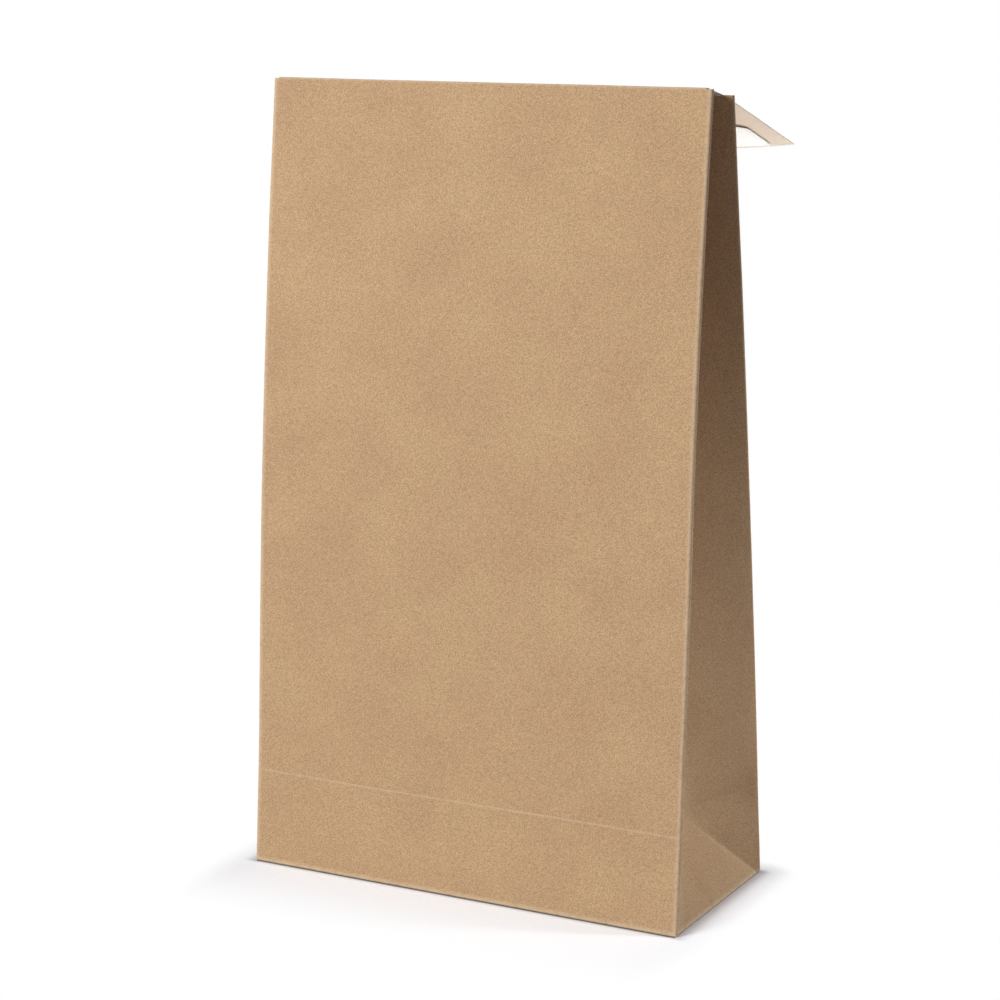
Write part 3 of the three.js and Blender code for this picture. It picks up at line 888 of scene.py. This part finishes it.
def kraft_paper(finish):
    """Unbleached kraft paper, machine finished: matt and brown, with a fine felted grain, soft
    clouds of pulp, a scatter of bark specks and pale fibres, and paler folds, partly rubbed and
    partly a painted highlight. Its inner face is plainer, and paler than the paper is, as painted
    light for the bright underside of the flap."""
    material, tree, output, place = new_material("kraft_paper_machine_finished")

    # Turned, so that no wall runs along the patterns' grid, which would show as bands
    place = add_node(tree, "ShaderNodeMapping", n0=place, Rotation=(0.7, 0.5, 0.4)).outputs[0]

    # Pulp clouds of about 30 mm, between a yellower and a redder brown
    clouds = add_node(tree, "ShaderNodeTexNoise", Vector=place, Scale=1 / (30 * MM), Detail=4,
                      Roughness=0.55).outputs["Fac"]
    clouds = add_node(tree, "ShaderNodeMapRange", SMOOTH_RANGE, Value=clouds, n1=0.25,
                      n2=0.75).outputs[0]
    colour = add_node(tree, "ShaderNodeMix", COLOUR_MIX, n0=clouds, n6=linear(finish.kraft_yellow),
                      n7=linear(finish.kraft_red)).outputs[2]

    # Felted fibres: real ones are 0.03 mm wide, and are drawn 0.42 mm coarse to show
    grain = add_node(tree, "ShaderNodeTexNoise", Vector=place, Scale=1 / (0.42 * MM), Detail=2,
                     Roughness=0.6).outputs["Fac"]
    shade = add_node(tree, "ShaderNodeMapRange", SMOOTH_RANGE, Value=grain, n1=0.25, n2=0.75,
                     n3=0.67, n4=1.33).outputs[0]
    colour = add_node(tree, "ShaderNodeMix", COLOUR_PRODUCT, n0=1, n6=colour, n7=shade).outputs[2]
    # Painted light: the inner face takes a colour paler than the paper's own, for the bright light
    # under the flap
    inside = add_node(tree, "ShaderNodeAttribute", {"attribute_name": "inside_face"}).outputs["Fac"]
    colour = add_node(tree, "ShaderNodeMix", COLOUR_MIX, n0=inside, n6=colour,
                      n7=linear(finish.kraft_inside_with_painted_light)).outputs[2]

    # Bark specks and pale fibres, each under a millimetre
    specks = add_node(tree, "ShaderNodeTexNoise", Vector=place, Scale=1 / (0.75 * MM),
                      Detail=1).outputs["Fac"]
    specks = add_node(tree, "ShaderNodeMapRange", SMOOTH_RANGE, Value=specks, n1=0.68, n2=0.8,
                      n4=0.55).outputs[0]
    colour = add_node(tree, "ShaderNodeMix", COLOUR_MIX, n0=specks, n6=colour,
                      n7=linear(finish.dark_fibre)).outputs[2]
    elsewhere = add_node(tree, "ShaderNodeVectorMath", n0=place, n1=(0.3, 0.7, 0.1)).outputs[0]
    fibres = add_node(tree, "ShaderNodeTexNoise", Vector=elsewhere, Scale=1 / (0.9 * MM),
                      Detail=1).outputs["Fac"]
    fibres = add_node(tree, "ShaderNodeMapRange", SMOOTH_RANGE, Value=fibres, n1=0.68, n2=0.8,
                      n4=0.45).outputs[0]
    colour = add_node(tree, "ShaderNodeMix", COLOUR_MIX, n0=fibres, n6=colour,
                      n7=linear(finish.light_fibre)).outputs[2]

    # Folds and cut edges are rubbed pale, in patches of about 2.5 mm; on the bottom rim, the crease
    # and the corner and top folds the pale colour is also a painted highlight
    wear = add_node(tree, "ShaderNodeAttribute", {"attribute_name": "fold_wear_and_highlight"}).outputs["Fac"]
    patches = add_node(tree, "ShaderNodeTexNoise", Vector=place, Scale=1 / (2.5 * MM),
                       Detail=3).outputs["Fac"]
    patches = add_node(tree, "ShaderNodeMapRange", SMOOTH_RANGE, Value=patches, n1=0.3, n2=0.6,
                       n3=0.5 * finish.fold_wear_and_highlight, n4=finish.fold_wear_and_highlight).outputs[0]
    rubbed_and_highlit = add_node(tree, "ShaderNodeMath", {"operation": "MULTIPLY"}, n0=wear,
                      n1=patches).outputs[0]
    colour = add_node(tree, "ShaderNodeMix", COLOUR_MIX, n0=rubbed_and_highlit, n6=colour,
                      n7=linear(finish.pale_fold_and_highlight_colour)).outputs[2]

    bump = add_node(tree, "ShaderNodeBump", Height=grain, Strength=0.35, Distance=0.05 * MM)
    shader = add_node(tree, "ShaderNodeBsdfPrincipled", Base_Color=colour, IOR=1.5, Roughness=0.82,
                      Specular_IOR_Level=0.3, Normal=bump.outputs[0])
    tree.links.new(shader.outputs[0], output.inputs["Surface"])
    return material


def silicone_liner(finish):
    """White release paper, silicone coated: smooth and satin, with a faint papery mottle."""
    material, tree, output, place = new_material("release_paper_silicone_coated")
    mottle = add_node(tree, "ShaderNodeTexNoise", Vector=place, Scale=1 / (3 * MM),
                      Detail=3).outputs["Fac"]
    mottle = add_node(tree, "ShaderNodeMapRange", SMOOTH_RANGE, Value=mottle, n1=0.3, n2=0.7,
                      n3=0.97, n4=1.0).outputs[0]
    colour = add_node(tree, "ShaderNodeMix", COLOUR_PRODUCT, n0=1, n6=linear(finish.liner_colour),
                      n7=mottle).outputs[2]
    ripple = add_node(tree, "ShaderNodeTexNoise", Vector=place, Scale=1 / (1.5 * MM)).outputs["Fac"]
    bump = add_node(tree, "ShaderNodeBump", Height=ripple, Strength=0.1, Distance=0.03 * MM)
    shader = add_node(tree, "ShaderNodeBsdfPrincipled", Base_Color=colour, IOR=1.45, Roughness=0.42,
                      Normal=bump.outputs[0])
    tree.links.new(shader.outputs[0], output.inputs["Surface"])
    return material


def hot_melt_adhesive(finish):
    """Pressure-sensitive hot-melt adhesive, slot coated: glossy, straw coloured, with fine
    streaks along the strip where it was drawn."""
    material, tree, output, place = new_material("hot_melt_adhesive_slot_coated")
    along = add_node(tree, "ShaderNodeMapping", n0=place, Scale=(0.05, 1, 1)).outputs[0]
    streaks = add_node(tree, "ShaderNodeTexNoise", Vector=along,
                       Scale=1 / (0.8 * MM)).outputs["Fac"]
    shade = add_node(tree, "ShaderNodeMapRange", SMOOTH_RANGE, Value=streaks, n1=0.3, n2=0.7,
                     n3=0.85, n4=1.05).outputs[0]
    colour = add_node(tree, "ShaderNodeMix", COLOUR_PRODUCT, n0=1,
                      n6=linear(finish.adhesive_colour), n7=shade).outputs[2]
    bump = add_node(tree, "ShaderNodeBump", Height=streaks, Strength=0.2, Distance=0.05 * MM)
    shader = add_node(tree, "ShaderNodeBsdfPrincipled", Base_Color=colour, IOR=1.48, Roughness=0.25,
                      Normal=bump.outputs[0])
    tree.links.new(shader.outputs[0], output.inputs["Surface"])
    return material


class PAPERBAG_OT_fold_sheet(bpy.types.Operator):
    """Fold the kraft sheet into the bag: panels, gussets, block bottom and closure flap"""

    bl_idname = "paper_bag.fold_sheet"
    bl_label = "Fold Bag Sheet"

    def execute(self, context):
        form = BagForm(context.scene.paper_bag_sizes)
        mesh = sheet_surface(form).mesh("kraft_bag")
        slacken(mesh, form)
        bag = add_piece("kraft_bag", mesh, kraft_paper(context.scene.paper_bag_finish))
        sink_bottom_flaps(bag, form)
        smooth(bag)
        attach(bag, BODY)
        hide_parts("paper_bag")
        return {"FINISHED"}


class PAPERBAG_OT_lay_closure_strips(bpy.types.Operator):
    """Lay the adhesive strip and its release liner under the flap"""

    bl_idname = "paper_bag.lay_closure_strips"
    bl_label = "Lay Adhesive and Liner"

    edge_margin = 3.1 * MM  # liner to the flap's free edge
    end_inset = 7.8 * MM  # liner to the flap's side edge
    liner_radii = (5 * MM, 1 * MM)  # its corners on the bag's side and at the free edge
    liner_thickness = 0.12 * MM
    liner_edge_lift = 0.5 * MM
    adhesive_end_inset = 2 * MM
    adhesive_radii = (2 * MM, 2 * MM)
    adhesive_thickness = 0.15 * MM
    layer_gap = 0.1 * MM

    def execute(self, context):
        sizes = context.scene.paper_bag_sizes
        finish = context.scene.paper_bag_finish
        form = BagForm(sizes)
        liner_half = form.flap_free_half - self.end_inset
        liner_end = sizes.flap_length - self.edge_margin
        middle = liner_end - sizes.liner_width / 2
        depth = form.half_paper + self.layer_gap
        adhesive = strip_surface(
            form, liner_half - self.adhesive_end_inset, middle - sizes.adhesive_width / 2,
            middle + sizes.adhesive_width / 2, self.adhesive_radii, depth,
            self.adhesive_thickness, 0,
        )
        depth += self.adhesive_thickness + self.layer_gap
        liner = strip_surface(
            form, liner_half, liner_end - sizes.liner_width, liner_end, self.liner_radii,
            depth, self.liner_thickness, self.liner_edge_lift,
        )
        laid = (
            ("adhesive", adhesive, hot_melt_adhesive(finish), "adhesive_strip", "adhesive"),
            ("liner", liner, silicone_liner(finish), "release_liner", "liner_paper"),
        )
        for name, surface, material, node, slot in laid:
            mesh = surface.mesh(name)
            slacken(mesh, form)
            piece = add_piece(name, mesh, material)
            smooth(piece)
            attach(piece, BODY)
            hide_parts(node)
        return {"FINISHED"}


def floor_material(footprint):
    """White studio paper, matt. Near the footprint it takes the bag's shadow, with painted shadow
    added: its colour turns grey at the line of contact, and its glow and its turn to pure white
    further out grow with the distance from the footprint. Light that bounces off it sees only the
    matt paper."""
    material, tree, output, place = new_material("studio_paper_matt")
    sheet = add_node(tree, "ShaderNodeBsdfDiffuse", Color=linear("#b8b8b8")).outputs[0]
    white = add_node(tree, "ShaderNodeEmission", Strength=1.0).outputs[0]

    # Painted shade: the floor's glow is held back near the line of contact, which stays dark twice
    # as far out at the sides as in front
    contact = reach_outside(tree, place, footprint, (0.45, 1, 0), (0.45, 1, 0))
    lift = add_node(tree, "ShaderNodeMapRange", SMOOTH_RANGE, Value=contact, n2=3 * MM,
                    n4=0.35).outputs[0]
    glow = add_node(tree, "ShaderNodeEmission", Strength=lift).outputs[0]

    # Painted shadow: the floor turns to pure white with the distance from the footprint, and its
    # soft shadow reaches over three times as far in front as at the sides and behind; it begins
    # with a thin dark line under the bottom fold, painted grey into the floor's colour
    shadow = reach_outside(tree, place, footprint, (3.4, 1, 0), (3.4, 4, 0))
    under = add_node(tree, "ShaderNodeMapRange", SMOOTH_RANGE, Value=shadow, n2=1.3 * MM).outputs[0]
    shaded = add_node(tree, "ShaderNodeMix", COLOUR_MIX, n0=under, n6=linear("#808080"),
                      n7=linear("#f2f2f2")).outputs[2]
    pale = add_node(tree, "ShaderNodeBsdfDiffuse", Color=shaded).outputs[0]
    near = add_node(tree, "ShaderNodeAddShader", n0=pale, n1=glow).outputs[0]
    whiteness = add_node(tree, "ShaderNodeMapRange", SMOOTH_RANGE, Value=shadow,
                         n2=55 * MM).outputs[0]
    visible = add_node(tree, "ShaderNodeMixShader", n0=whiteness, n1=near, n2=white).outputs[0]
    mixed = add_node(tree, "ShaderNodeMixShader", n0=seen_rays(tree), n1=sheet, n2=visible)
    tree.links.new(mixed.outputs[0], output.inputs["Surface"])
    return material


def reach_outside(tree, place, footprint, front_scale, back_scale):
    """How far a point of the floor lies outside the footprint, with the way towards -X and -Y
    scaled by the first scale, and that towards +X and +Y by the second."""
    parts = []
    for side, scale in ((-1, front_scale), (1, back_scale)):
        offset = place
        steps = (("MULTIPLY", (side, side, 0)), ("SUBTRACT", (*footprint, 0)),
                 ("MAXIMUM", (0, 0, 0)), ("MULTIPLY", scale))
        for operation, operand in steps:
            offset = add_node(tree, "ShaderNodeVectorMath", {"operation": operation}, n0=offset,
                              n1=operand).outputs[0]
        parts.append(offset)
    both = add_node(tree, "ShaderNodeVectorMath", n0=parts[0], n1=parts[1]).outputs[0]
    length = add_node(tree, "ShaderNodeVectorMath", {"operation": "LENGTH"}, n0=both)
    return length.outputs["Value"]


def seen_rays(tree):
    """1 for rays that show a surface to the eye, directly, in a reflection or through glass."""
    rays = add_node(tree, "ShaderNodeLightPath").outputs
    seen = rays["Is Camera Ray"]
    for name in ("Is Glossy Ray", "Is Transmission Ray"):
        seen = add_node(tree, "ShaderNodeMath", {"operation": "MAXIMUM"}, n0=seen,
                        n1=rays[name]).outputs[0]
    return seen


def lit_world(ambient):
    """White surroundings: strength 1 where the camera sees them. The object gets the ambient
    strength of a cooler light, which keeps deep shade in the paper grey."""
    world = bpy.data.worlds.new("studio")
    world.use_nodes = True
    tree = world.node_tree
    tree.nodes.clear()
    soft = add_node(tree, "ShaderNodeBackground", Color=linear("#b8ccff"),
                    Strength=ambient).outputs[0]
    white = add_node(tree, "ShaderNodeBackground", Color=linear("#ffffff"), Strength=1.0).outputs[0]
    mixed = add_node(tree, "ShaderNodeMixShader", n0=seen_rays(tree), n1=soft, n2=white).outputs[0]
    output = add_node(tree, "ShaderNodeOutputWorld")
    tree.links.new(mixed, output.inputs["Surface"])
    return world


def add_lamp(name, place, target, size, power):
    """A square soft lamp at a place, turned to a target."""
    lamp = bpy.data.lights.new(name, "AREA")
    lamp.shape = "SQUARE"
    lamp.size = size
    lamp.energy = power
    lamp_object = bpy.data.objects.new(name, lamp)
    bpy.context.scene.collection.objects.link(lamp_object)
    lamp_object.location = place
    lamp_object.rotation_euler = (target - place).to_track_quat("-Z", "Y").to_euler()
    return lamp_object


class PAPERBAG_OT_set_stage(bpy.types.Operator):
    """Set the plain stage: floor, surroundings, lamps and camera"""

    bl_idname = "paper_bag.set_stage"
    bl_label = "Set Stage"

    aim = Vector((0.3, -9.2, 148.6)) * MM
    floor_half = 6.0
    sensor_width = 36.0
    key_place = Vector((-1.3, -2.3, 1.2))
    key_target = Vector((0, 0, 150)) * MM
    key_size = 1.1
    side_place = Vector((1.39, 0.56, 0.7))
    side_target = Vector((0, 0, 4)) * MM
    side_size = 0.25
    side_spread = math.radians(17.5)
    bounce_place = Vector((0.15, 0.36, 0.012))
    bounce_way = Vector((0, -0.1, 1))
    bounce_size = 0.45

    def execute(self, context):
        settings = context.scene.paper_bag_stage
        self.lay_floor(context.scene.paper_bag_sizes)
        context.scene.world = lit_world(settings.ambient)
        add_lamp("key_lamp", self.key_place, self.key_target, self.key_size, settings.key_power)
        side = add_lamp("side_lamp", self.side_place, self.side_target, self.side_size,
                        settings.side_power)
        side.data.spread = self.side_spread
        bounce = add_lamp("bounce_lamp", self.bounce_place, self.bounce_place + self.bounce_way,
                          self.bounce_size, settings.bounce_power)
        bounce.visible_camera = False
        self.place_camera(context, settings)
        context.scene.view_settings.view_transform = "Standard"
        return {"FINISHED"}

    def lay_floor(self, sizes):
        half = self.floor_half
        footprint = (sizes.bag_width / 2, sizes.base_depth / 2)
        mesh = bpy.data.meshes.new("floor")
        corners = [(-half, -half, 0), (half, -half, 0), (half, half, 0), (-half, half, 0)]
        mesh.from_pydata(corners, [], [(0, 1, 2, 3)])
        add_piece("floor", mesh, floor_material(footprint))

    def place_camera(self, context, settings):
        """The camera stands back from its aim by azimuth and elevation, then rolls."""
        azimuth, elevation, roll = settings.azimuth, settings.elevation, settings.roll
        level = math.cos(elevation)
        back = Vector((level * math.sin(azimuth), -level * math.cos(azimuth), math.sin(elevation)))
        right = Vector((math.cos(azimuth), math.sin(azimuth), 0))
        up = back.cross(right)
        rolled_right = right * math.cos(roll) + up * math.sin(roll)
        rolled_up = up * math.cos(roll) - right * math.sin(roll)
        turn = Matrix((rolled_right, rolled_up, back)).transposed().to_4x4()
        lens = bpy.data.cameras.new("camera")
        lens.sensor_width = self.sensor_width
        lens.lens = settings.focal_length
        camera = bpy.data.objects.new("camera", lens)
        context.scene.collection.objects.link(camera)
        camera.matrix_world = Matrix.Translation(self.aim + back * settings.distance) @ turn
        context.scene.camera = camera


class PAPERBAG_PT_panel(bpy.types.Panel):
    """Sizes, finish and stage of the bag, and the operators that make them"""

    bl_idname = "PAPERBAG_PT_panel"
    bl_label = "Kraft Paper Bag"
    bl_space_type = "VIEW_3D"
    bl_region_type = "UI"
    bl_category = "Paper Bag"

    def draw(self, context):
        for name in PROPERTY_GROUPS:
            box = self.layout.box()
            group = getattr(context.scene, name)
            for key in group.__annotations__:
                box.prop(group, key)
        for operator in OPERATORS:
            self.layout.operator(operator.bl_idname)


PROPERTY_GROUPS = {
    "paper_bag_sizes": PaperBagSizes,
    "paper_bag_finish": PaperBagFinish,
    "paper_bag_stage": PaperBagStage,
}
OPERATORS = (PAPERBAG_OT_fold_sheet, PAPERBAG_OT_lay_closure_strips, PAPERBAG_OT_set_stage)


def register():
    for name, group in PROPERTY_GROUPS.items():
        bpy.utils.register_class(group)
        setattr(bpy.types.Scene, name, PointerProperty(type=group))
    for operator in OPERATORS:
        bpy.utils.register_class(operator)
    bpy.utils.register_class(PAPERBAG_PT_panel)


def unregister():
    bpy.utils.unregister_class(PAPERBAG_PT_panel)
    for operator in reversed(OPERATORS):
        bpy.utils.unregister_class(operator)
    for name, group in reversed(PROPERTY_GROUPS.items()):
        delattr(bpy.types.Scene, name)
        bpy.utils.unregister_class(group)


def main():
    register()
    bpy.ops.paper_bag.fold_sheet()
    bpy.ops.paper_bag.lay_closure_strips()
    bpy.ops.paper_bag.set_stage()


if __name__ == "__main__":
    main()
